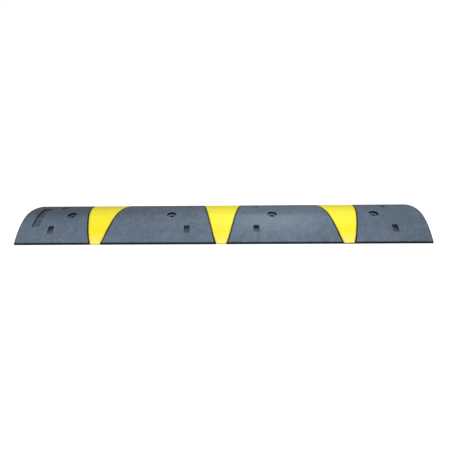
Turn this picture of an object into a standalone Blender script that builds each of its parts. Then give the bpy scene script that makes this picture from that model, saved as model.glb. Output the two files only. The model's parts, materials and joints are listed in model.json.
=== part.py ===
"""Rubber speed bump: a long domed block of black rubber with three yellow rubber inlays across it.

Metres, +Z up. X runs along the bump and Y across it, in the direction of travel. The origin is the
centre of the underside. The block has four counterbored anchor holes along its crest, a row of
pockets in each slope, and a blank recessed panel near its -X end. Nothing on it moves.
"""

import math

import bmesh
import bpy
from mathutils import Matrix

# The dome
LENGTH = 1.8288
WIDTH = 0.3048
HEIGHT = 0.05715
LIP_HEIGHT = 0.0076  # the upright edge along both sides
CREST_POWER = 1.8  # 2 would be a parabola, and less is flatter along the slopes
DOME_STEPS = 48
HALF_WIDTH = WIDTH / 2

# The yellow inlays: each widens from the -Y edge to the +Y edge
STRIPE_SPACING = 0.554
STRIPE_HALF_AT_EDGE = 0.0216
STRIPE_HALF_AT_CREST = 0.0626
STRIPE_POWER = 0.78  # below 1, so the sides curve outwards
STRIPE_STEPS = 24
INLAY_THICKNESS = 0.003
SEAM_GAP = 0.0015  # the open seam on each side of an inlay
INLAY_CLEARANCE = 0.0003  # between an inlay and the rubber under it
LONG_INLAY_FOOT = 0.001  # height at which an inlay ends that runs down over the lips
SHORT_INLAY_FOOT = LIP_HEIGHT - 0.002  # and one that stops at the top of the lips

# Anchor holes, evenly spaced along the crest
HOLE_COUNT = 4
HOLE_SPACING = 0.465
COUNTERBORE_RADIUS = 0.0205
COUNTERBORE_FLOOR = HEIGHT - 0.0115
HOLE_RADIUS = 0.007
ROUND_STEPS = 40

# Slope pockets, at plus and minus each of these, on both slopes
POCKET_PLACES = (0.155, 0.768)
POCKET_WIDTH = 0.024
POCKET_INNER = 0.0712  # distance of the pocket's end wall from the crest line
POCKET_OUTER = 0.1096  # where its level floor comes out of the slope
POCKET_CORNER = 0.003

# The blank panel across the crest
PANEL_START = -0.859
PANEL_WIDTH = 0.033
PANEL_HALF_DEPTH = 0.075
PANEL_RECESS = 0.005

CUTTER_REACH = 0.02  # how far a cutter stands out past the surface that it cuts
ARC_STEPS = 4  # segments in a rounded corner

RUBBER_COLOUR = (0.125, 0.168, 0.221, 1.0)
YELLOW_COLOUR = (0.93, 0.82, 0.05, 1.0)


def clear_scene():
    for old in list(bpy.data.objects):
        bpy.data.objects.remove(old, do_unlink=True)


def new_collection(name):
    collection = bpy.data.collections.new(name)
    bpy.context.scene.collection.children.link(collection)
    return collection


def material(name, colour, roughness):
    made = bpy.data.materials.new(name)
    made.use_nodes = True
    shader = made.node_tree.nodes["Principled BSDF"]
    shader.inputs["Base Color"].default_value = colour
    shader.inputs["Roughness"].default_value = roughness
    shader.inputs["Metallic"].default_value = 0.0
    return made


def dome_height(y):
    """Height of the top surface above the ground at this distance from the crest line."""
    return LIP_HEIGHT + (HEIGHT - LIP_HEIGHT) * (1 - abs(y / HALF_WIDTH) ** CREST_POWER)


def dome_outline(inset, bottom):
    """The cross-section as (y, z) points, from the -Y edge over the crest to the +Y edge."""
    half = HALF_WIDTH - inset
    points = [(-half, bottom)]
    for step in range(DOME_STEPS + 1):
        side = 2 * step / DOME_STEPS - 1
        points.append((side * half, dome_height(side * HALF_WIDTH) - inset))
    points.append((half, bottom))
    return points


def stripe_half_width(y):
    along = (y + HALF_WIDTH) / HALF_WIDTH
    growth = STRIPE_HALF_AT_CREST - STRIPE_HALF_AT_EDGE
    return STRIPE_HALF_AT_EDGE + growth * max(along, 0.0) ** STRIPE_POWER


def stripe_outline(centre, margin):
    """The plan of an inlay as (x, y) points: along its +X edge and back along its -X edge."""
    steps = [(2 * step / STRIPE_STEPS - 1) * HALF_WIDTH for step in range(STRIPE_STEPS + 1)]
    past_edge = HALF_WIDTH + CUTTER_REACH
    places = [-past_edge] + steps + [past_edge]
    right = [(centre + stripe_half_width(y) + margin, y) for y in places]
    left = [(centre - stripe_half_width(y) - margin, y) for y in reversed(places)]
    return right + left


def rounded_rectangle(low, high, radius):
    """(x, y) points of a rectangle with round corners, counter-clockwise."""
    corners = (
        (high[0] - radius, high[1] - radius, 0),
        (low[0] + radius, high[1] - radius, 1),
        (low[0] + radius, low[1] + radius, 2),
        (high[0] - radius, low[1] + radius, 3),
    )
    points = []
    for x, y, quarter in corners:
        for step in range(ARC_STEPS + 1):
            angle = (quarter + step / ARC_STEPS) * math.pi / 2
            points.append((x + radius * math.cos(angle), y + radius * math.sin(angle)))
    return points


def extruded(name, collection, outline, thickness, placing):
    """A closed prism: the outline filled and extruded along its own normal, both ways from its plane."""
    curve = bpy.data.curves.new(name, "CURVE")
    curve.dimensions = "2D"
    curve.fill_mode = "BOTH"
    curve.extrude = thickness / 2
    spline = curve.splines.new("POLY")
    spline.points.add(len(outline) - 1)
    for point, (u, v) in zip(spline.points, outline):
        point.co = (u, v, 0.0, 1.0)
    spline.use_cyclic_u = True
    guide = bpy.data.objects.new(name + "_outline", curve)
    collection.objects.link(guide)
    guide.matrix_world = placing
    bpy.context.view_layer.update()
    evaluated = guide.evaluated_get(bpy.context.evaluated_depsgraph_get())
    mesh = bpy.data.meshes.new_from_object(evaluated)
    bpy.data.objects.remove(guide, do_unlink=True)
    shape = bmesh.new()
    shape.from_mesh(mesh)
    bmesh.ops.remove_doubles(shape, verts=shape.verts, dist=1e-6)
    bmesh.ops.recalc_face_normals(shape, faces=shape.faces)
    shape.to_mesh(mesh)
    shape.free()
    mesh.name = name
    made = bpy.data.objects.new(name, mesh)
    collection.objects.link(made)
    made.matrix_world = placing
    return made


def across(name, collection, inset, bottom, length):
    """A dome section run along X. An inset one is the same dome, smaller by that much all over."""
    turn = Matrix(((0, 0, 1, 0), (1, 0, 0, 0), (0, 1, 0, 0), (0, 0, 0, 1)))
    return extruded(name, collection, dome_outline(inset, bottom), length, turn)


def upright(name, collection, outline, bottom, top):
    """A plan outline run up along Z."""
    placing = Matrix.Translation((0, 0, (bottom + top) / 2))
    return extruded(name, collection, outline, top - bottom, placing)


def stepped_cutter(name, collection, x):
    """Counterbore and through hole as one turned profile."""
    top = HEIGHT + CUTTER_REACH
    profile = (
        (0.0, top),
        (COUNTERBORE_RADIUS, top),
        (COUNTERBORE_RADIUS, COUNTERBORE_FLOOR),
        (HOLE_RADIUS, COUNTERBORE_FLOOR),
        (HOLE_RADIUS, -CUTTER_REACH),
        (0.0, -CUTTER_REACH),
    )
    mesh = bpy.data.meshes.new(name)
    edges = [(i, i + 1) for i in range(len(profile) - 1)]
    mesh.from_pydata([(radius, 0.0, z) for radius, z in profile], edges, [])
    cutter = bpy.data.objects.new(name, mesh)
    collection.objects.link(cutter)
    cutter.location = (x, 0, 0)
    turn = cutter.modifiers.new("turn", "SCREW")
    turn.steps = ROUND_STEPS
    turn.render_steps = ROUND_STEPS
    turn.use_merge_vertices = True
    turn.merge_threshold = 0.0001
    return cutter


def pocket_cutter(name, collection, x, slope):
    """A pocket with upright walls. Its level floor runs out through the slope (-1 or +1)."""
    inner, outer = sorted((slope * POCKET_INNER, slope * (POCKET_OUTER + CUTTER_REACH)))
    low = (x - POCKET_WIDTH / 2, inner)
    high = (x + POCKET_WIDTH / 2, outer)
    outline = rounded_rectangle(low, high, POCKET_CORNER)
    floor = dome_height(POCKET_OUTER)
    return upright(name, collection, outline, floor, HEIGHT + CUTTER_REACH)


def boolean(target, operation, other):
    step = target.modifiers.new(f"{operation.lower()}_{other.name}", "BOOLEAN")
    step.operation = operation
    step.object = other
    step.solver = "EXACT"


def make_helper(helper):
    helper.hide_render = True
    helper.display_type = "WIRE"
    return helper


def build_body(parts, cutters, stripes):
    body = across("bump_body", parts, 0.0, 0.0, LENGTH)
    body.data.materials.append(material("black_rubber", RUBBER_COLOUR, 0.8))
    recess_depth = INLAY_THICKNESS + INLAY_CLEARANCE
    recess_core = make_helper(across("recess_core", cutters, recess_depth, -0.1, 2 * LENGTH))
    for name, centre, foot in stripes:
        bottom = -CUTTER_REACH if foot == LONG_INLAY_FOOT else foot - INLAY_CLEARANCE
        outline = stripe_outline(centre, SEAM_GAP)
        cutter = upright(f"{name}_recess", cutters, outline, bottom, HEIGHT + CUTTER_REACH)
        boolean(make_helper(cutter), "DIFFERENCE", recess_core)
        boolean(body, "DIFFERENCE", cutter)
    panel_core = make_helper(across("panel_core", cutters, PANEL_RECESS, -0.1, 2 * LENGTH))
    panel_outline = rounded_rectangle(
        (PANEL_START, -PANEL_HALF_DEPTH),
        (PANEL_START + PANEL_WIDTH, PANEL_HALF_DEPTH),
        POCKET_CORNER,
    )
    panel = make_helper(upright("panel", cutters, panel_outline, 0.0, HEIGHT + CUTTER_REACH))
    boolean(panel, "DIFFERENCE", panel_core)
    boolean(body, "DIFFERENCE", panel)
    for number in range(HOLE_COUNT):
        place = (number - (HOLE_COUNT - 1) / 2) * HOLE_SPACING
        cutter = stepped_cutter(f"hole_{number}", cutters, place)
        boolean(body, "DIFFERENCE", make_helper(cutter))
    for number, place in enumerate(POCKET_PLACES):
        for side in (-1, 1):
            for slope in (-1, 1):
                name = f"pocket_{number}_{side:+d}_{slope:+d}"
                cutter = pocket_cutter(name, cutters, side * place, slope)
                boolean(body, "DIFFERENCE", make_helper(cutter))


def build_inlays(parts, cutters, stripes):
    yellow = material("yellow_rubber", YELLOW_COLOUR, 0.6)
    dome = make_helper(across("outer_dome", cutters, 0.0, 0.0, LENGTH))
    core = make_helper(across("inlay_core", cutters, INLAY_THICKNESS, -0.1, 2 * LENGTH))
    for name, centre, foot in stripes:
        outline = stripe_outline(centre, 0.0)
        inlay = upright(name, parts, outline, foot, HEIGHT + CUTTER_REACH)
        boolean(inlay, "INTERSECT", dome)
        boolean(inlay, "DIFFERENCE", core)
        inlay.data.materials.append(yellow)


clear_scene()
PARTS = new_collection("rubber_speed_bump")
CUTTERS = new_collection("cutters")
STRIPES = (
    ("stripe_left", -STRIPE_SPACING, LONG_INLAY_FOOT),
    ("stripe_centre", 0.0, LONG_INLAY_FOOT),
    ("stripe_right", STRIPE_SPACING, SHORT_INLAY_FOOT),
)
build_body(PARTS, CUTTERS, STRIPES)
build_inlays(PARTS, CUTTERS, STRIPES)
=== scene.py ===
import collections
import json
import math

import bpy
import numpy as np
from mathutils import Matrix, Vector, noise
from mathutils.geometry import delaunay_2d_cdt


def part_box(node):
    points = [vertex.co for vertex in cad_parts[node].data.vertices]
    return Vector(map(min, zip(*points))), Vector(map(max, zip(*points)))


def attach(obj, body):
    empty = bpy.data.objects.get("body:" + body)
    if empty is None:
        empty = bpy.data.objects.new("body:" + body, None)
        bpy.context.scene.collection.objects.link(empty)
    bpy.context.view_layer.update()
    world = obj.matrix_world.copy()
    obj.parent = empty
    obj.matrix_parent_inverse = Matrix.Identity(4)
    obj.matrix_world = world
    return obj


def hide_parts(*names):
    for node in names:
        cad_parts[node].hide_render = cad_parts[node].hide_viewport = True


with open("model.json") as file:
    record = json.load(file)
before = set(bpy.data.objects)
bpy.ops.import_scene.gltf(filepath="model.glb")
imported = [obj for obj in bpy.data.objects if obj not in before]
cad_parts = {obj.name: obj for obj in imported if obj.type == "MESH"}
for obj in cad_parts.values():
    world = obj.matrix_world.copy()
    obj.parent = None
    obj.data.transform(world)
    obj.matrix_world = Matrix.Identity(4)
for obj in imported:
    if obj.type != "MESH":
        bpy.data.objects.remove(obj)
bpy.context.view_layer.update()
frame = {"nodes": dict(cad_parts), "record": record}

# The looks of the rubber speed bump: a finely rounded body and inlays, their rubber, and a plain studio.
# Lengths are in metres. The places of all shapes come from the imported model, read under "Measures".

RECORD = frame["record"]

# ---------------------------------------------------------------- Measures


def points_of(node):
    return np.array([vertex.co for vertex in frame["nodes"][node].data.vertices], float)


BODY_POINTS = points_of("bump_body")
BODY_LOW, BODY_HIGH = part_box("bump_body")
HALF_LENGTH = BODY_HIGH.x
HALF_WIDTH = BODY_HIGH.y
CREST = BODY_HIGH.z

MEASURE_SLACK = 0.0001  # points this close to a place count as being at it
POCKET_REACH = 0.003  # a pocket's own points lie this near its stated opening
PANEL_FROM_END = 0.02  # the panel's points lie further in than this from the -X end
PANEL_FROM_POCKET = 0.01  # and further than this from the nearest pocket
INLAY_NAMES = ("stripe_left", "stripe_centre", "stripe_right")


def crest_power(end, lip):
    """The dome's power, from the end outline's point nearest to half way down the slope."""
    middle = end[np.argmin(abs(abs(end[:, 1]) - HALF_WIDTH / 2))]
    fallen = (CREST - middle[2]) / (CREST - lip)
    return math.log(fallen) / math.log(abs(middle[1]) / HALF_WIDTH)


END_OUTLINE = BODY_POINTS[BODY_POINTS[:, 0] < BODY_LOW.x + MEASURE_SLACK]
END_TOP = END_OUTLINE[END_OUTLINE[:, 2] > MEASURE_SLACK]
LIP = END_TOP[abs(END_TOP[:, 1]) > HALF_WIDTH - MEASURE_SLACK][:, 2].max()
CREST_POWER = crest_power(END_TOP, LIP)

SEATS = [m["pos_m"] for m in RECORD["mounts"] if m["name"].startswith("anchor_seat")]
BOXES = {o["name"]: np.array(o["box_m"]) for o in RECORD["physics"]["openings"]}
HOLE_CENTRES = [box.mean(0)[0] for name, box in BOXES.items() if name.startswith("counterbore")]
SEAT_HEIGHT = SEATS[0][2]


def seat_radii():
    """(counterbore radius, hole radius), from the rings of points at the height of the first seat."""
    off = BODY_POINTS - (HOLE_CENTRES[0], 0, SEAT_HEIGHT)
    reach = np.hypot(off[:, 0], off[:, 1])
    at_seat = reach[(abs(off[:, 2]) < MEASURE_SLACK) & (reach < HALF_WIDTH / 2)]
    return at_seat.max(), at_seat.min()


SEAT_RADIUS, HOLE_RADIUS = seat_radii()


def pocket_of(box):
    """((x, y) low corner, (x, y) high corner, floor height) of the pocket round a stated opening."""
    middle, half = box.mean(0), (box[1] - box[0]) / 2 + POCKET_REACH
    inside = BODY_POINTS[(abs(BODY_POINTS - middle) < half).all(1)]
    return inside[:, :2].min(0), inside[:, :2].max(0), inside[:, 2].min()


POCKETS = [pocket_of(box) for name, box in BOXES.items() if name.startswith("slope_pocket")]
POCKET_INNER = min(abs(corner[1]) for low, high, floor in POCKETS for corner in (low, high))


def dome(y):
    """Height of the top surface at this distance from the crest line."""
    share = np.minimum(abs(np.asarray(y, float)) / HALF_WIDTH, 1)
    return LIP + (CREST - LIP) * (1 - share**CREST_POWER)


def inset_dome(y, inset):
    """Height of the same dome made smaller by inset all over."""
    return dome(np.asarray(y, float) * HALF_WIDTH / (HALF_WIDTH - inset)) - inset


def inlay_measures():
    """(half width at the -Y edge, at the crest, at the +Y edge, thickness) of the middle inlay."""
    points = points_of("stripe_centre")
    low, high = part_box("stripe_centre")
    halves = []
    for y in (low.y, 0.0, high.y):
        halves.append(points[abs(points[:, 1] - y) < MEASURE_SLACK][:, 0].max())
    crest = points[abs(points[:, 1]) < MEASURE_SLACK]
    return *halves, crest[:, 2].max() - crest[:, 2].min()


FRONT_HALF, CREST_HALF, BACK_HALF, INLAY_THICKNESS = inlay_measures()
STRIPE_POWER = math.log2((BACK_HALF - FRONT_HALF) / (CREST_HALF - FRONT_HALF))


def recess_measures():
    """(open seam beside an inlay, depth of the recess under it), from the body's crest line."""
    row = BODY_POINTS[(abs(BODY_POINTS[:, 1]) < MEASURE_SLACK) & (BODY_POINTS[:, 2] > CREST / 2)]
    side = abs(row[row[:, 2] > CREST - MEASURE_SLACK][:, 0]).min()
    under = row[abs(row[:, 0]) < side + MEASURE_SLACK]
    return side - CREST_HALF, CREST - under[:, 2].min()


SEAM_GAP, RECESS_DEPTH = recess_measures()
CLEARANCE = RECESS_DEPTH - INLAY_THICKNESS


def panel_measures():
    """((x, y) low corner, (x, y) high corner, depth) of the blank panel near the -X end."""
    past_end = BODY_POINTS[:, 0] > BODY_LOW.x + PANEL_FROM_END
    first_pocket = min(low[0] for low, high, floor in POCKETS)
    before_pocket = BODY_POINTS[:, 0] < first_pocket - PANEL_FROM_POCKET
    inside = BODY_POINTS[past_end & before_pocket]
    inside = inside[inside[:, 2] > CREST / 3]
    crest = inside[abs(inside[:, 1]) < MEASURE_SLACK]
    return inside[:, :2].min(0), inside[:, :2].max(0), CREST - crest[:, 2].min()


PANEL_LOW, PANEL_HIGH, PANEL_DEPTH = panel_measures()
INLAYS = {name: sum(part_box(name), Vector()).x / 2 for name in INLAY_NAMES}  # their middles along X
FEET = {name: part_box(name)[0].z for name in INLAYS}


def half_width(y):
    """Half the width of an inlay at this place across the bump."""
    along = np.clip((np.asarray(y, float) + HALF_WIDTH) / HALF_WIDTH, 0, None)
    return FRONT_HALF + (CREST_HALF - FRONT_HALF) * along**STRIPE_POWER


# ---------------------------------------------------------------- Rounded edges

EDGE_ROUND = 0.0018  # along the tops of the lips and the ends
MOUTH_ROUND = 0.0014  # at the mouths of the counterbores and pockets
SEAT_ROUND = 0.0005  # where an anchor hole leaves its seat
SEAM_ROUND = 0.0007  # along both sides of each seam
PANEL_ROUND = 0.0009
FLOOR_FILLET = 0.0009  # where a wall meets a counterbore's, pocket's or panel's floor
FOOT_ROUND = 0.0012  # round the underside
RINGS = (0.0, 0.134, 0.5, 1.0)  # a rounding's points as shares of its radius, 30 degrees apart
INLAY_INNER_RING = 0.003
INLAY_RINGS = tuple(share * SEAM_ROUND for share in RINGS) + (INLAY_INNER_RING,)  # in from its sides
FULL_ROUND_HEIGHT = 0.004  # a pocket's roundings shrink where its wall is lower than this


def fall(distance, radius):
    """How far a rounded edge lies below the flat surface, at this distance from the edge."""
    away = 1 - np.clip(np.asarray(distance, float) / radius, 0, 1)
    return radius * (1 - np.sqrt(1 - away**2))


# ---------------------------------------------------------------- Plan outlines

ROUND_STEPS = 72
CORNER_STEPS = 6
CORNER_RADIUS = 0.003
ROW_COUNT = 60
ROW_STEP = 0.005
COLUMN_COUNT = 130
INLAY_COLUMNS = 14
SEAM_BARE = 0.007  # how far the rubber beside a seam is bare of dust
RIM_DARK = 0.006  # how far the rubber is darker along the lips and the ends
PANEL_SHADE = 0.005  # and how far a shadow is painted on the panel's floor beside its -X wall
CLEAR_OF_OUTLINE = 0.0025  # loose points of the plan keep this far from every outline
PLAN_MERGE = 1e-6  # plan points closer than this are one
HEIGHT_STEP = 1e-7  # heights are rounded to this, so that shared points are found
SHARP_ANGLE = math.radians(38)
WAVE_LENGTH = 0.09
WAVE_DEPTH = 0.0004


def spread(low, high, count):
    return [low + (high - low) * step / count for step in range(count + 1)]


def edge_rows(half):
    """Places of the rounding's rings on both sides of a span that reaches half each way."""
    offsets = [share * EDGE_ROUND for share in RINGS]
    return [-half + offset for offset in offsets] + [half - offset for offset in offsets]


CORE_ROWS = [
    side * (HALF_WIDTH - inset) for side in (-1, 1) for inset in (RECESS_DEPTH, INLAY_THICKNESS)
]
INNER = HALF_WIDTH - RIM_DARK
ROWS = sorted(spread(-INNER, INNER, ROW_COUNT) + edge_rows(HALF_WIDTH) + CORE_ROWS)


def circle(x, radius):
    angles = [2 * math.pi * step / ROUND_STEPS for step in range(ROUND_STEPS)]
    return [(x + radius * math.cos(angle), radius * math.sin(angle)) for angle in angles]


def rounded_rectangle(low, high, grow):
    """(x, y) points of a round-cornered rectangle, made larger by grow all round."""
    radius = CORNER_RADIUS + grow
    near, far = (low[0] - grow, low[1] - grow), (high[0] + grow, high[1] + grow)
    corners = (
        (far[0] - radius, far[1] - radius),
        (near[0] + radius, far[1] - radius),
        (near[0] + radius, near[1] + radius),
        (far[0] - radius, near[1] + radius),
    )
    points = []
    for quarter, (x, y) in enumerate(corners):
        for step in range(CORNER_STEPS + 1):
            angle = (quarter + step / CORNER_STEPS) * math.pi / 2
            points.append((x + radius * math.cos(angle), y + radius * math.sin(angle)))
    return points


def stripe_side(centre, side, grow):
    """Points along one side of an inlay's outline, moved out by grow, at every row."""
    return [(centre + side * (float(half_width(y)) + grow), y) for y in ROWS]


def stripe_loop(centre, grow):
    return stripe_side(centre, 1, grow) + stripe_side(centre, -1, grow)[::-1]


def off_circle(points, x, radius):
    """Distance outside a circle on the crest line. Inside it is negative."""
    return np.hypot(points[:, 0] - x, points[:, 1]) - radius


def off_rectangle(points, low, high):
    """Distance outside a round-cornered rectangle. Inside it is negative."""
    middle, half = (np.array(low) + high) / 2, (np.array(high) - low) / 2 - CORNER_RADIUS
    past = abs(points - middle) - half
    outside = np.hypot(*np.maximum(past, 0).T)
    return outside + np.minimum(past.max(1), 0) - CORNER_RADIUS


def off_stripe(points, centre):
    """Distance along X outside an inlay. Inside it is negative."""
    return abs(points[:, 0] - centre) - half_width(points[:, 1])


def inside_loop(points, loop):
    """Which points lie inside a closed loop."""
    inside = np.zeros(len(points), bool)
    x, y = points.T
    for (ax, ay), (bx, by) in zip(loop, loop[1:] + loop[:1]):
        if ay == by:
            continue
        crosses = (ay > y) != (by > y)
        inside ^= crosses & (x < ax + (bx - ax) * (y - ay) / (by - ay))
    return inside


def dense(line):
    """The same line with a point at least every ROW_STEP, so that it can follow the dome."""
    points = [line[0]]
    for (ax, ay), (bx, by) in zip(line, line[1:]):
        count = math.ceil(abs(by - ay) / ROW_STEP) or 1
        for step in range(1, count):
            points.append((ax + (bx - ax) * step / count, ay + (by - ay) * step / count))
        points.append((bx, by))
    return points


def closed(loop):
    return loop + loop[:1]


def pocket_line(low, high, grow):
    """The three walls of a pocket from its open end round to its open end, moved out by grow."""
    slope = 1 if high[1] > 0 else -1
    inner, outlet = (low[1], high[1]) if slope > 0 else (high[1], low[1])
    radius = CORNER_RADIUS + grow
    points = [(high[0] + grow, outlet)]
    for side, end in ((1, high[0]), (-1, low[0])):
        for step in range(CORNER_STEPS + 1):
            share = step if side > 0 else CORNER_STEPS - step
            angle = share / CORNER_STEPS * math.pi / 2
            x = end + side * (radius * math.cos(angle) - CORNER_RADIUS)
            points.append((x, inner + slope * (CORNER_RADIUS - radius * math.sin(angle))))
    points.append((low[0] - grow, outlet))
    return dense(points)


def off_pocket(points, low, high):
    """Distance outside a pocket's three walls. Inside it is negative, however near the open end."""
    open_end = np.array((0, HALF_WIDTH))
    if high[1] > 0:
        return off_rectangle(points, low, high + open_end)
    return off_rectangle(points, low - open_end, high)


# ---------------------------------------------------------------- Meshes from plans


def plan_triangles(lines, loose):
    """(points, triangles) of a plan with a point at every loose point and edges along every line."""
    points, edges = [], []
    for line in lines:
        edges += [(i, i + 1) for i in range(len(points), len(points) + len(line) - 1)]
        points += line
    points += loose
    result = delaunay_2d_cdt([Vector(point) for point in points], edges, [], 0, PLAN_MERGE)
    return np.array([tuple(point) for point in result[0]]), [tuple(corners) for corners in result[2]]


def wall(low, high, levels):
    """An upright face on one plan edge. low and high hold its two ends' heights as (point, height)."""
    (start, start_low), (end, end_low) = low
    start_high, end_high = high[0][1], high[1][1]
    rising = sorted(z for z in levels[end] if end_low < z < end_high)
    falling = sorted((z for z in levels[start] if start_low < z < start_high), reverse=True)
    ring = [(start, start_low), (end, end_low)] + [(end, z) for z in rising] + [(end, end_high)]
    ring += [(start, start_high)] + [(start, z) for z in falling]
    return [corner for i, corner in enumerate(ring) if corner != ring[i - 1]]


def relief(name, places, triangles, regions, spans):
    """A closed mesh over a plan.

    Region 0 is empty. Every other region is solid between the two arrays that spans gives it, which
    hold a lower and an upper height for each plan point. Walls close the steps between regions.
    """
    heights = {
        region: [np.rint(span / HEIGHT_STEP).astype(int).tolist() for span in pair]
        for region, pair in spans.items()
    }
    left_of = {}
    levels = collections.defaultdict(set)
    rings = []
    for corners, region in zip(triangles, regions):
        for i in range(3):
            left_of[corners[i - 1], corners[i]] = region
        if region:
            lower, upper = heights[region]
            rings.append([(point, upper[point]) for point in corners])
            rings.append([(point, lower[point]) for point in reversed(corners)])
            for point in corners:
                levels[point].update((lower[point], upper[point]))
    for (start, end), region in left_of.items():
        other = left_of.get((end, start), 0)
        if not region or region == other:
            continue
        lower, upper = ([(point, z[point]) for point in (start, end)] for z in heights[region])
        if not other:
            rings.append(wall(lower, upper, levels))
            continue
        other_lower, other_upper = ([(point, z[point]) for point in (start, end)] for z in heights[other])
        if any(mine[1] > theirs[1] for mine, theirs in zip(upper, other_upper)):
            rings.append(wall(other_upper, upper, levels))
        if any(mine[1] < theirs[1] for mine, theirs in zip(lower, other_lower)):
            rings.append(wall(lower, other_lower, levels))
    numbers = {}
    rings = [ring for ring in rings if len(ring) > 2]
    faces = [[numbers.setdefault(corner, len(numbers)) for corner in ring] for ring in rings]
    vertices = [(*places[point], z * HEIGHT_STEP) for point, z in numbers]
    mesh = bpy.data.meshes.new(name)
    mesh.from_pydata(vertices, [], faces)
    mesh.shade_smooth()
    mesh.set_sharp_from_angle(angle=SHARP_ANGLE)
    made = bpy.data.objects.new(name, mesh)
    bpy.context.scene.collection.objects.link(made)
    return made


# ---------------------------------------------------------------- Body and inlays


def waves(places):
    """The slight unevenness of a moulded surface, never above the true one."""
    lift = [noise.noise(Vector((x, y, 0)) / WAVE_LENGTH) for x, y in places]
    return WAVE_DEPTH * (np.clip(lift, -1, 1) - 1) / 2


def surface(places):
    return dome(places[:, 1]) + waves(places)


def edge_fall(places, radius):
    """The rounding along the long edges and the ends."""
    across = fall(HALF_WIDTH - abs(places[:, 1]), radius)
    along = fall(HALF_LENGTH - abs(places[:, 0]), radius)
    return np.maximum(across, along)


def is_long(name):
    """Whether an inlay runs down over the lips. A short one stops at their tops."""
    return FEET[name] < LIP / 2


def body_lines():
    lines = [[(-HALF_LENGTH, y), (HALF_LENGTH, y)] for y in edge_rows(HALF_WIDTH)]
    lines += [[(x, -HALF_WIDTH), (x, HALF_WIDTH)] for x in edge_rows(HALF_LENGTH)]
    for share in RINGS:
        for x in HOLE_CENTRES:
            lines.append(closed(circle(x, SEAT_RADIUS + share * MOUTH_ROUND)))
            lines.append(closed(circle(x, SEAT_RADIUS - share * FLOOR_FILLET)))
            lines.append(closed(circle(x, HOLE_RADIUS + share * SEAT_ROUND)))
        for low, high, floor in POCKETS:
            lines.append(pocket_line(low, high, share * MOUTH_ROUND))
            lines.append(pocket_line(low, high, -share * FLOOR_FILLET))
        for grow in (share * PANEL_ROUND, -share * FLOOR_FILLET):
            lines.append(dense(closed(rounded_rectangle(PANEL_LOW, PANEL_HIGH, grow))))
        for centre in INLAYS.values():
            for side in (-1, 1):
                lines.append(stripe_side(centre, side, SEAM_GAP + share * SEAM_ROUND))
    for low, high, floor in POCKETS:
        outlet = high[1] if high[1] > 0 else low[1]
        lines.append([(low[0], outlet), (high[0], outlet)])
    # points that carry the shadow painted beside the panel's -X wall
    for x in (PANEL_LOW[0] + PANEL_SHADE, PANEL_LOW[0] + 2 * PANEL_SHADE):
        lines.append(dense([(x, PANEL_LOW[1] + CORNER_RADIUS), (x, PANEL_HIGH[1] - CORNER_RADIUS)]))
    for centre in INLAYS.values():
        for side in (-1, 1):
            lines.append(stripe_side(centre, side, SEAM_GAP + SEAM_BARE))
        for y in (RECESS_DEPTH - HALF_WIDTH, HALF_WIDTH - RECESS_DEPTH):
            reach = float(half_width(y)) + SEAM_GAP
            lines.append([(centre - reach, y), (centre + reach, y)])
    return lines


def body_loose():
    inner = HALF_LENGTH - RIM_DARK
    columns = spread(-inner, inner, COLUMN_COUNT) + edge_rows(HALF_LENGTH)
    grid = np.array([(x, y) for x in columns for y in ROWS])
    near = np.zeros(len(grid), bool)
    for x in HOLE_CENTRES:
        near |= abs(off_circle(grid, x, SEAT_RADIUS)) < CLEAR_OF_OUTLINE
        near |= off_circle(grid, x, HOLE_RADIUS) < CLEAR_OF_OUTLINE
    for low, high, floor in POCKETS:
        near |= abs(off_pocket(grid, low, high)) < CLEAR_OF_OUTLINE
    near |= abs(off_rectangle(grid, PANEL_LOW, PANEL_HIGH)) < CLEAR_OF_OUTLINE
    for centre in INLAYS.values():
        beside = off_stripe(grid, centre) - SEAM_GAP
        near |= (beside > -CLEAR_OF_OUTLINE) & (beside < SEAM_BARE + CLEAR_OF_OUTLINE)
    return [tuple(point) for point in grid[~near]]


LAND, SEAT, POCKET, PANEL, RECESS, LEDGE = range(1, 7)


def body_regions(centres):
    """The region of each triangle of the body's plan, from its centre."""
    regions = np.full(len(centres), LAND)
    for x in HOLE_CENTRES:
        regions[inside_loop(centres, circle(x, SEAT_RADIUS))] = SEAT
        regions[inside_loop(centres, circle(x, HOLE_RADIUS))] = 0
    for low, high, floor in POCKETS:
        regions[inside_loop(centres, pocket_line(low, high, 0.0))] = POCKET
    regions[inside_loop(centres, dense(closed(rounded_rectangle(PANEL_LOW, PANEL_HIGH, 0.0))))] = PANEL
    over_lip = abs(centres[:, 1]) > HALF_WIDTH - RECESS_DEPTH
    for name, centre in INLAYS.items():
        under = inside_loop(centres, stripe_loop(centre, SEAM_GAP))
        regions[under] = RECESS
        regions[under & over_lip] = 0 if is_long(name) else LEDGE
    return regions.tolist()


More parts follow.
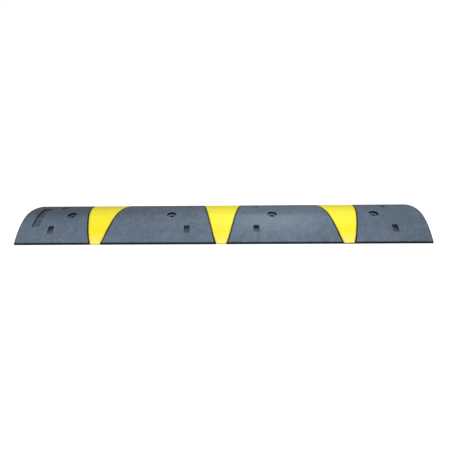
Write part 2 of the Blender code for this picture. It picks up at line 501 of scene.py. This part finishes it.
def body_spans(places):
    """(lower, upper) heights of every region of the body at every plan point."""
    x, y = places.T
    flat = surface(places)
    falls = [edge_fall(places, EDGE_ROUND)]
    seat = np.full(len(places), SEAT_HEIGHT)
    for centre in HOLE_CENTRES:
        mouth = off_circle(places, centre, SEAT_RADIUS)
        falls.append(fall(abs(mouth), MOUTH_ROUND))
        seat += fall(abs(mouth), FLOOR_FILLET)
        seat -= fall(abs(off_circle(places, centre, HOLE_RADIUS)), SEAT_ROUND)
    pocket = np.zeros(len(places))
    for low, high, floor in POCKETS:
        mouth = abs(off_pocket(places, low, high))
        within = (abs(x - (low[0] + high[0]) / 2) < high[0] - low[0]) & (y * high[1] > 0)
        full = np.clip((dome(y) - floor) / FULL_ROUND_HEIGHT, 0, 1) * within
        falls.append(full * fall(mouth, MOUTH_ROUND))
        pocket += np.where(within, floor + full * fall(mouth, FLOOR_FILLET), 0)
    pocket = np.minimum(pocket + waves(places), flat)
    mouth = abs(off_rectangle(places, PANEL_LOW, PANEL_HIGH))
    falls.append(fall(mouth, PANEL_ROUND))
    panel = flat - PANEL_DEPTH + fall(mouth, FLOOR_FILLET)
    for centre in INLAYS.values():
        falls.append(fall(abs(off_stripe(places, centre) - SEAM_GAP), SEAM_ROUND))
    recess = inset_dome(y, RECESS_DEPTH)
    ledge_height = max(FEET.values()) - CLEARANCE
    short_centre = next(centre for name, centre in INLAYS.items() if not is_long(name))
    under_short = abs(x - short_centre) < BACK_HALF + 2 * SEAM_GAP
    recess = np.where(under_short, np.maximum(recess, ledge_height), recess)
    ledge = np.full(len(places), ledge_height)
    bottom = edge_fall(places, FOOT_ROUND)
    uppers = {
        LAND: flat - np.maximum.reduce(falls),
        SEAT: seat,
        POCKET: pocket,
        PANEL: panel,
        RECESS: recess,
        LEDGE: ledge,
    }
    return {region: (bottom, upper) for region, upper in uppers.items()}


def build_body():
    places, triangles = plan_triangles(body_lines(), body_loose())
    regions = body_regions(places[np.array(triangles)].mean(1))
    made = relief("bump_body_rubber", places, triangles, regions, body_spans(places))
    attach(made, "root")
    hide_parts("bump_body")
    return made


SHEET, SKIRT = 1, 2


def build_inlay(name, centre):
    lines = [stripe_side(centre, side, -grow) for side in (-1, 1) for grow in INLAY_RINGS]
    for y in edge_rows(HALF_WIDTH) + [INLAY_THICKNESS - HALF_WIDTH, HALF_WIDTH - INLAY_THICKNESS]:
        reach = float(half_width(y))
        lines.append([(centre - reach, y), (centre + reach, y)])
    columns = spread(centre - BACK_HALF, centre + BACK_HALF, INLAY_COLUMNS)
    grid = np.array([(x, y) for x in columns for y in ROWS])
    well_inside = off_stripe(grid, centre) < -INLAY_INNER_RING - CLEAR_OF_OUTLINE
    places, triangles = plan_triangles(lines, [tuple(point) for point in grid[well_inside]])
    centres = places[np.array(triangles)].mean(1)
    over_lip = abs(centres[:, 1]) > HALF_WIDTH - INLAY_THICKNESS
    inside = inside_loop(centres, stripe_loop(centre, 0.0))
    regions = np.where(inside, np.where(over_lip, SKIRT, SHEET), 0)
    foot = np.full(len(places), FEET[name])
    under = np.maximum(inset_dome(places[:, 1], INLAY_THICKNESS), 0 if is_long(name) else foot)
    seam = fall(abs(off_stripe(places, centre)), SEAM_ROUND)
    upper = surface(places) - np.maximum(seam, edge_fall(places, EDGE_ROUND))
    spans = {SHEET: (under, upper), SKIRT: (foot, upper)}
    made = relief(name + "_inlay", places, triangles, regions.tolist(), spans)
    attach(made, "root")
    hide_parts(name)
    return made


# ---------------------------------------------------------------- Materials


class Shade:
    """A node material with short calls for the nodes that it needs."""

    def __init__(self, name):
        self.material = bpy.data.materials.new(name)
        self.material.use_nodes = True
        self.tree = self.material.node_tree
        self.shader = self.tree.nodes["Principled BSDF"]
        self.places = self.node("ShaderNodeTexCoord").outputs["Object"]

    def node(self, kind, **settings):
        made = self.tree.nodes.new(kind)
        for name, value in settings.items():
            setattr(made, name, value)
        return made

    def feed(self, socket, value):
        """Sets a socket to a number or colour, or links an output to it."""
        if isinstance(value, bpy.types.NodeSocket):
            self.tree.links.new(value, socket)
        else:
            socket.default_value = value

    def noise(self, size, detail=3.0, roughness=0.55, seed=0.0, stretch=None):
        """Smooth noise from 0 to 1 whose blobs are about this size in metres."""
        made = self.node("ShaderNodeTexNoise", noise_dimensions="4D")
        made.inputs["W"].default_value = seed
        made.inputs["Scale"].default_value = 1 / size
        made.inputs["Detail"].default_value = detail
        made.inputs["Roughness"].default_value = roughness
        places = self.places
        if stretch:
            mapping = self.node("ShaderNodeMapping")
            mapping.inputs["Scale"].default_value = stretch
            self.feed(mapping.inputs["Vector"], places)
            places = mapping.outputs["Vector"]
        self.feed(made.inputs["Vector"], places)
        return made.outputs["Fac"]

    def stored(self, name):
        """A number that the mesh stores at its points."""
        return self.node("ShaderNodeAttribute", attribute_name=name).outputs["Fac"]

    def crumbs(self, size, randomness=1.0):
        """Distance from the middle of packed grains about this size in metres."""
        made = self.node("ShaderNodeTexVoronoi")
        made.inputs["Scale"].default_value = 1 / size
        made.inputs["Randomness"].default_value = randomness
        self.feed(made.inputs["Vector"], self.places)
        return made

    def between(self, value, low, high, to_low, to_high, smooth=False):
        """The value mapped from low..high to to_low..to_high, and held at the ends."""
        made = self.node("ShaderNodeMapRange", interpolation_type="SMOOTHSTEP" if smooth else "LINEAR")
        self.feed(made.inputs["Value"], value)
        made.inputs["From Min"].default_value = low
        made.inputs["From Max"].default_value = high
        made.inputs["To Min"].default_value = to_low
        made.inputs["To Max"].default_value = to_high
        return made.outputs["Result"]

    def maths(self, operation, first, *others):
        """The values joined one after another by the operation."""
        for other in others:
            made = self.node("ShaderNodeMath", operation=operation)
            self.feed(made.inputs[0], first)
            self.feed(made.inputs[1], other)
            first = made.outputs[0]
        return first

    def mix(self, share, first, second, blend="MIX"):
        """Two colours mixed by a share of the second."""
        made = self.node("ShaderNodeMix", data_type="RGBA", blend_type=blend)
        self.feed(made.inputs["Factor"], share)
        self.feed(made.inputs["A"], first)
        self.feed(made.inputs["B"], second)
        return made.outputs["Result"]

    def scaled(self, colour, by):
        """A colour made lighter or darker by a number."""
        made = self.node("ShaderNodeVectorMath", operation="SCALE")
        self.feed(made.inputs[0], colour)
        self.feed(made.inputs["Scale"], by)
        return made.outputs["Vector"]

    def bump(self, height, strength, depth, under=None):
        made = self.node("ShaderNodeBump")
        made.inputs["Strength"].default_value = strength
        made.inputs["Distance"].default_value = depth
        self.feed(made.inputs["Height"], height)
        if under:
            self.feed(made.inputs["Normal"], under)
        return made.outputs["Normal"]

    def facing_up(self):
        """How far the surface faces up, from -1 to 1."""
        split = self.node("ShaderNodeSeparateXYZ")
        self.feed(split.inputs[0], self.node("ShaderNodeTexCoord").outputs["Normal"])
        return split.outputs["Z"]

    def place(self, axis):
        """A coordinate in metres, named by its axis."""
        split = self.node("ShaderNodeSeparateXYZ")
        self.feed(split.inputs[0], self.places)
        return split.outputs[axis]

    def each(self, crumbs):
        """A random number from 0 to 1 for each grain."""
        split = self.node("ShaderNodeSeparateColor")
        self.feed(split.inputs[0], crumbs.outputs["Color"])
        return split.outputs["Red"]


# The tops' grey is partly dust, partly painted light; upright faces get the near black DEEP as painted
# shade.
DUST_AND_LIT_GREY = (0.112, 0.150, 0.200, 1.0)
DEEP = (0.007, 0.008, 0.010, 1.0)
PALE_DUST = (0.165, 0.200, 0.245, 1.0)
SPECK = (0.30, 0.33, 0.36, 1.0)
YELLOW = (0.95, 0.76, 0.018, 1.0)
# lighter yellow painted near the crest as light
LIT_CREST_YELLOW = (0.97, 0.83, 0.032, 1.0)
# whitish yellow painted low down as sheen
SHEEN_PALE_YELLOW = (0.93, 0.82, 0.16, 1.0)
GRIME_AND_SHADE = (0.16, 0.11, 0.03, 1.0)

EDGE_ATTRIBUTE = "near_edge"
HOLLOW_SHADE_ATTRIBUTE = "hollow"
STIPPLE_ATTRIBUTE = "stipple"
PALE_WALL_ATTRIBUTE = "pale_wall"
SEAM_GRIME = 0.0035  # how far grime reaches into an inlay
FULL_HOLLOW = 0.004  # painted shade on a pocket's floor is darkest from this depth
SEAT_HOLLOW = 0.4  # how dark the painted shade on the level seats is beside that
PALE_PANEL_WALL = 0.8  # how far the panel's +Y wall takes the tops' grey of dust and painted light
PALE_POCKET_WALL = 0.3  # and the walls of the pockets

GRAIN = 0.0026  # size of a rubber crumb
FINE_GRAIN = 0.0009
MOTTLE = 0.035
BROAD_MOTTLE = 0.22
RAGGED = 0.009  # size of the breaks in the bare rims
SCUFF = 0.012
SCUFF_STRETCH = (1.0, 0.12, 0.12)  # scuffs run across the bump, as wheels do
STIPPLE = 0.0045  # spacing of the raised dots on the blank panel
CRUMB_HEIGHT = 0.0003
PORE_DEPTH = 0.00015
YELLOW_PORE_DEPTH = 0.00012

BACK_FADE = (0.08, 0.145)  # places across the bump, over which shade is painted on the +Y slope
BACK_SHADE = 0.62  # how strong that painted shade is at the end of that
CREST_FADE = (-0.06, 0.05)  # places across the bump, over which shade is painted on its left part
LEFT_FADE = (-0.8, 0.1)  # places along the bump, over which that painted shade dies away
LEFT_DARK = 0.45
RIGHT_FADE = (0.4, 0.88)  # places along the bump, over which shade is painted on its right end
RIGHT_SHADE = 0.87
PALE_FOOT = 0.008  # an inlay is painted palest, as sheen, up to this height
PLAIN_HEIGHT = 0.035  # plain yellow at this height, and painted lighter from there to the crest


def scuff_marks(shade, seed, rarity, strength):
    """Faint streaks across the bump. A higher rarity leaves fewer of them."""
    streaks = shade.noise(SCUFF, 4.0, 0.7, seed, SCUFF_STRETCH)
    return shade.between(streaks, rarity, rarity + 0.1, 0.0, strength, smooth=True)


def add_grain(shade, grains, fine, crumb_strength, pore_strength, pore_depth):
    """Raised crumbs with fine pores over them."""
    crumbs = shade.between(grains.outputs["Distance"], 0.25, 0.75, 1.0, 0.0, smooth=True)
    raised = shade.bump(crumbs, crumb_strength, CRUMB_HEIGHT)
    shade.feed(shade.shader.inputs["Normal"], shade.bump(fine, pore_strength, pore_depth, raised))


def bareness_and_painted_shade(shade, mottle, scuffs):
    """How far the rubber loses its grey, from 0 to 1: bare of dust by seams, darker at rims, dark between
    dots, scuffed, with painted shade in hollows, beside the panel's -X wall and down the +Y slope.
    """
    ragged = shade.between(shade.noise(RAGGED, 3.0, 0.65, 6.0), 0.3, 0.7, 0.55, 1.45)
    # seams bare of dust, darker rims, and the shadow painted beside the panel's -X wall
    near_edge = shade.maths("MULTIPLY", shade.stored(EDGE_ATTRIBUTE), ragged)
    edge = shade.between(near_edge, 0.0, 0.6, 0.0, 0.97, smooth=True)
    # painted shade in pockets and on counterbore seats
    hollow = shade.maths("MULTIPLY", shade.stored(HOLLOW_SHADE_ATTRIBUTE), 0.5)
    dots = shade.crumbs(STIPPLE, randomness=0.35).outputs["Distance"]
    dots = shade.between(dots, 0.25, 0.55, 0.0, 0.55)
    stipple = shade.maths("MULTIPLY", dots, shade.stored(STIPPLE_ATTRIBUTE))
    # painted shade down the +Y slope, broken up by the mottle
    back = shade.between(shade.place("Y"), *BACK_FADE, 0.0, BACK_SHADE, smooth=True)
    back = shade.maths("MULTIPLY", back, shade.between(mottle, 0.35, 0.65, 1.3, 0.8))
    scuffed = shade.maths("MULTIPLY", scuffs, 0.13)
    return shade.maths("MAXIMUM", edge, hollow, stipple, back, scuffed)


def tone_and_painted_shade(shade, grains, fine):
    """How light the rubber is beside its plain colour: random tone of grains and mottle, with painted
    shade on the left part's crest and at the right end.
    """
    broad = shade.noise(BROAD_MOTTLE, 2.0, 0.5, 3.0)
    far = shade.between(shade.place("Y"), *CREST_FADE, 0.0, 1.0, smooth=True)
    left = shade.between(shade.place("X"), *LEFT_FADE, LEFT_DARK, 0.0)
    return shade.maths(
        "MULTIPLY",
        shade.between(shade.each(grains), 0.0, 1.0, 0.88, 1.12),
        shade.between(grains.outputs["Distance"], 0.3, 0.7, 1.06, 0.72),
        shade.between(fine, 0.3, 0.7, 0.9, 1.1),
        shade.between(broad, 0.3, 0.7, 0.94, 1.06),
        # painted shade at the right end
        shade.between(shade.place("X"), *RIGHT_FADE, 1.0, RIGHT_SHADE, smooth=True),
        # painted shade over the crest and +Y slope of the left part
        shade.maths("SUBTRACT", 1.0, shade.maths("MULTIPLY", far, left)),
    )


def rubber():
    """Crumb rubber: grey on top from dust and painted light, near black on upright walls as painted
    shade, and painted shade down to the +Y edge.
    """
    shade = Shade("crumb_rubber")
    grains = shade.crumbs(GRAIN)
    fine = shade.noise(FINE_GRAIN, 2.0, 0.6, 1.0)
    mottle = shade.noise(MOTTLE, 4.0, 0.6, 2.0)
    scuffs = scuff_marks(shade, 7.0, 0.56, 1.0)

    # tops take the grey of dust and painted light, upright faces the near black of painted shade
    top = shade.between(shade.facing_up(), 0.6, 0.86, 0.0, 1.0, smooth=True)
    top = shade.maths("MAXIMUM", top, shade.stored(PALE_WALL_ATTRIBUTE))
    top = shade.maths("MULTIPLY", top, shade.maths("SUBTRACT", 1.0, bareness_and_painted_shade(shade, mottle, scuffs)))
    colour = shade.mix(top, DEEP, DUST_AND_LIT_GREY)
    dust = shade.maths("MULTIPLY", shade.between(mottle, 0.42, 0.68, 0.0, 0.5, smooth=True), top)
    colour = shade.mix(dust, colour, PALE_DUST)
    speck = shade.maths("MULTIPLY", shade.between(shade.each(grains), 0.975, 1.0, 0.0, 0.8), top)
    colour = shade.mix(speck, colour, SPECK)
    colour = shade.scaled(colour, tone_and_painted_shade(shade, grains, fine))
    shade.feed(shade.shader.inputs["Base Color"], colour)

    rough = shade.between(shade.maths("ADD", fine, mottle), 0.7, 1.3, 0.25, 0.42)
    rough = shade.maths("SUBTRACT", rough, shade.maths("MULTIPLY", scuffs, 0.06))
    shade.feed(shade.shader.inputs["Roughness"], rough)
    shade.shader.inputs["Specular IOR Level"].default_value = 0.45
    add_grain(shade, grains, fine, 0.5, 0.35, PORE_DEPTH)
    return shade.material


def grime_and_shade_on_yellow(shade, grains, mottle):
    """How grimy an inlay is along its seams and in specks, scuffs and pits, with painted shade on its
    upright ends.
    """
    ragged = shade.between(shade.noise(RAGGED, 3.0, 0.65, 8.0), 0.3, 0.7, 0.4, 1.6)
    near_edge = shade.maths("MULTIPLY", shade.stored(EDGE_ATTRIBUTE), ragged)
    return shade.maths(
        "MAXIMUM",
        shade.between(near_edge, 0.0, 1.0, 0.0, 0.85),
        # painted shade on upright faces
        shade.between(shade.facing_up(), 0.3, 0.7, 0.4, 0.0),
        shade.between(mottle, 0.55, 0.75, 0.0, 0.06, smooth=True),
        scuff_marks(shade, 9.0, 0.58, 0.08),
        shade.between(shade.each(grains), 0.975, 0.985, 0.0, 0.35),
    )


def yellow_rubber():
    """Coloured rubber: paler low down as painted sheen, lighter near the crest as painted light, with a
    little grime and painted shade on its upright ends.
    """
    shade = Shade("coloured_rubber")
    grains = shade.crumbs(GRAIN)
    fine = shade.noise(FINE_GRAIN, 2.0, 0.6, 4.0)
    mottle = shade.noise(MOTTLE, 4.0, 0.6, 5.0)

    height = shade.place("Z")
    lit_crest = shade.between(height, PLAIN_HEIGHT, CREST, 0.0, 1.0, smooth=True)
    sheen_at_foot = shade.between(height, PALE_FOOT, PLAIN_HEIGHT, 0.8, 0.0, smooth=True)
    colour = shade.mix(lit_crest, YELLOW, LIT_CREST_YELLOW)
    colour = shade.mix(sheen_at_foot, colour, SHEEN_PALE_YELLOW)
    colour = shade.mix(grime_and_shade_on_yellow(shade, grains, mottle), colour, GRIME_AND_SHADE)
    tone = shade.maths(
        "MULTIPLY",
        shade.between(grains.outputs["Distance"], 0.3, 0.7, 1.02, 0.9),
        shade.between(shade.each(grains), 0.0, 1.0, 0.97, 1.03),
    )
    shade.feed(shade.shader.inputs["Base Color"], shade.scaled(colour, tone))

    rough = shade.between(shade.maths("ADD", fine, mottle), 0.7, 1.3, 0.30, 0.5)
    shade.feed(shade.shader.inputs["Roughness"], rough)
    add_grain(shade, grains, fine, 0.35, 0.3, YELLOW_PORE_DEPTH)
    return shade.material


def store(piece, name, values):
    stored = piece.data.attributes.new(name, "FLOAT", "POINT")
    stored.data.foreach_set("value", values.astype(np.float32))


def mark_inlay(piece, centre):
    """Stores how near each point of an inlay is to its side seams, from 0 to 1."""
    points = np.array([vertex.co for vertex in piece.data.vertices])
    store(piece, EDGE_ATTRIBUTE, 1 - np.clip(abs(off_stripe(points, centre)) / SEAM_GRIME, 0, 1))


def mark_body(piece):
    """Stores, from 0 to 1, each point's nearness to an edge (with the shadow painted beside the panel's
    -X wall), painted shade in hollows, dots, and how far some walls take the tops' grey of dust and
    painted light.
    """
    points = np.array([vertex.co for vertex in piece.data.vertices])
    x, y, z = points.T
    near = []
    for centre in INLAYS.values():
        near.append(1 - np.clip((off_stripe(points, centre) - SEAM_GAP) / SEAM_BARE, 0, 1))
    near.append(1 - np.clip((HALF_WIDTH - abs(y)) / RIM_DARK, 0, 1))
    near.append(1 - np.clip((HALF_LENGTH - abs(x)) / RIM_DARK, 0, 1))
    on_panel = (off_rectangle(points[:, :2], PANEL_LOW, PANEL_HIGH) < 0) & (z > CREST / 3)
    # the shadow painted on the panel's floor beside its -X wall
    near.append(on_panel * (1 - np.clip((x - PANEL_LOW[0]) / PANEL_SHADE, 0, 1)))
    store(piece, EDGE_ATTRIBUTE, np.maximum.reduce(near))
    store(piece, STIPPLE_ATTRIBUTE, on_panel.astype(float))
    at_far_wall = (abs(y - PANEL_HIGH[1]) < MEASURE_SLACK) & (x > PANEL_LOW[0]) & (x < PANEL_HIGH[0])
    # painted shade, growing with depth below the dome, full in pockets, less on counterbore seats
    depth = np.clip((dome(y) - WAVE_DEPTH - z) / FULL_HOLLOW, 0, 1)
    in_pocket = abs(y) > POCKET_INNER - MEASURE_SLACK
    store(piece, HOLLOW_SHADE_ATTRIBUTE, depth * np.where(in_pocket, 1, SEAT_HOLLOW) * ~on_panel)
    pale_wall = np.maximum(at_far_wall * PALE_PANEL_WALL, depth * in_pocket * PALE_POCKET_WALL)
    store(piece, PALE_WALL_ATTRIBUTE, pale_wall)


# ---------------------------------------------------------------- Studio

CAMERA_PLACE = (0.0472, -1.3267, 0.9461)
CAMERA_DOWN = math.radians(35.635)
CAMERA_TURN = math.radians(1.422)  # to the left
CAMERA_ROLL = math.radians(-1.142)
CAMERA_LENS = 27.617
CAMERA_SENSOR = 36.0
FLOOR_SIZE = 80.0
FLOOR_GREY = (0.5, 0.5, 0.5, 1.0)
FLOOR_GLOW = 0.62
WHITE = (1.0, 1.0, 1.0, 1.0)
WORLD_STRENGTH = 0.2  # as a light. The camera sees it at 1
FRONT_STRENGTH = 2.65
FRONT_ANGLES = (40, 56, 8)  # how wide it looks, its elevation and its azimuth, in degrees
SHEEN_POWER = 15.5
SHEEN_PLACE = (0.42, 0.98, 1.6)
SHEEN_TARGET = (0.42, 0.98, 0.0)
SHEEN_SIZE = (0.7, 1.8)
SHEEN_COLOUR = (0.78, 0.94, 1.0)


def build_camera():
    data = bpy.data.cameras.new("camera")
    data.lens = CAMERA_LENS
    data.sensor_width = CAMERA_SENSOR
    camera = bpy.data.objects.new("camera", data)
    turn = Matrix.Rotation(CAMERA_TURN, 4, "Z")
    tilt = Matrix.Rotation(math.pi / 2 - CAMERA_DOWN, 4, "X")
    roll = Matrix.Rotation(CAMERA_ROLL, 4, "Z")
    camera.matrix_world = Matrix.Translation(CAMERA_PLACE) @ turn @ tilt @ roll
    bpy.context.scene.collection.objects.link(camera)
    bpy.context.scene.camera = camera


def build_floor():
    bpy.ops.mesh.primitive_plane_add(size=FLOOR_SIZE)
    floor = bpy.context.object
    floor.name = "studio_floor"
    shade = Shade("studio_floor")
    shade.shader.inputs["Base Color"].default_value = FLOOR_GREY
    shade.shader.inputs["Roughness"].default_value = 0.9
    shade.shader.inputs["Specular IOR Level"].default_value = 0.0
    shade.shader.inputs["Emission Color"].default_value = WHITE
    shade.shader.inputs["Emission Strength"].default_value = FLOOR_GLOW
    floor.data.materials.append(shade.material)
    floor.visible_glossy = False


def add_sun(name, strength, angle, elevation, azimuth):
    """A soft distant light. Azimuth 0 comes from the -Y side, and 90 degrees from the +X side."""
    data = bpy.data.lights.new(name, "SUN")
    data.energy = strength
    data.angle = math.radians(angle)
    light = bpy.data.objects.new(name, data)
    light.rotation_euler = (math.radians(90 - elevation), 0, math.radians(azimuth))
    light.visible_glossy = False
    bpy.context.scene.collection.objects.link(light)


def add_softbox(name, place, target, size, power, colour):
    """A rectangular light that faces its target."""
    data = bpy.data.lights.new(name, "AREA")
    data.color = colour
    data.shape = "RECTANGLE"
    data.size, data.size_y = size
    data.energy = power
    light = bpy.data.objects.new(name, data)
    light.location = place
    light.rotation_euler = (Vector(target) - Vector(place)).to_track_quat("-Z", "Y").to_euler()
    bpy.context.scene.collection.objects.link(light)


def build_light():
    world = bpy.data.worlds.new("studio")
    world.use_nodes = True
    tree = world.node_tree
    background = tree.nodes["Background"]
    background.inputs["Color"].default_value = WHITE
    strength = tree.nodes.new("ShaderNodeMapRange")
    strength.inputs["To Min"].default_value = WORLD_STRENGTH
    strength.inputs["To Max"].default_value = 1.0
    seen = tree.nodes.new("ShaderNodeLightPath").outputs["Is Camera Ray"]
    tree.links.new(seen, strength.inputs["Value"])
    tree.links.new(strength.outputs["Result"], background.inputs["Strength"])
    bpy.context.scene.world = world
    add_sun("front_light", FRONT_STRENGTH, *FRONT_ANGLES)
    add_softbox("sheen_light", SHEEN_PLACE, SHEEN_TARGET, SHEEN_SIZE, SHEEN_POWER, SHEEN_COLOUR)
    bpy.context.scene.view_settings.view_transform = "Standard"


# ---------------------------------------------------------------- Scene

RUBBER = rubber()
YELLOW_RUBBER = yellow_rubber()
body = build_body()
body.data.materials.append(RUBBER)
mark_body(body)
for inlay_name, inlay_centre in INLAYS.items():
    inlay = build_inlay(inlay_name, inlay_centre)
    inlay.data.materials.append(YELLOW_RUBBER)
    mark_inlay(inlay, inlay_centre)
build_floor()
build_light()
build_camera()
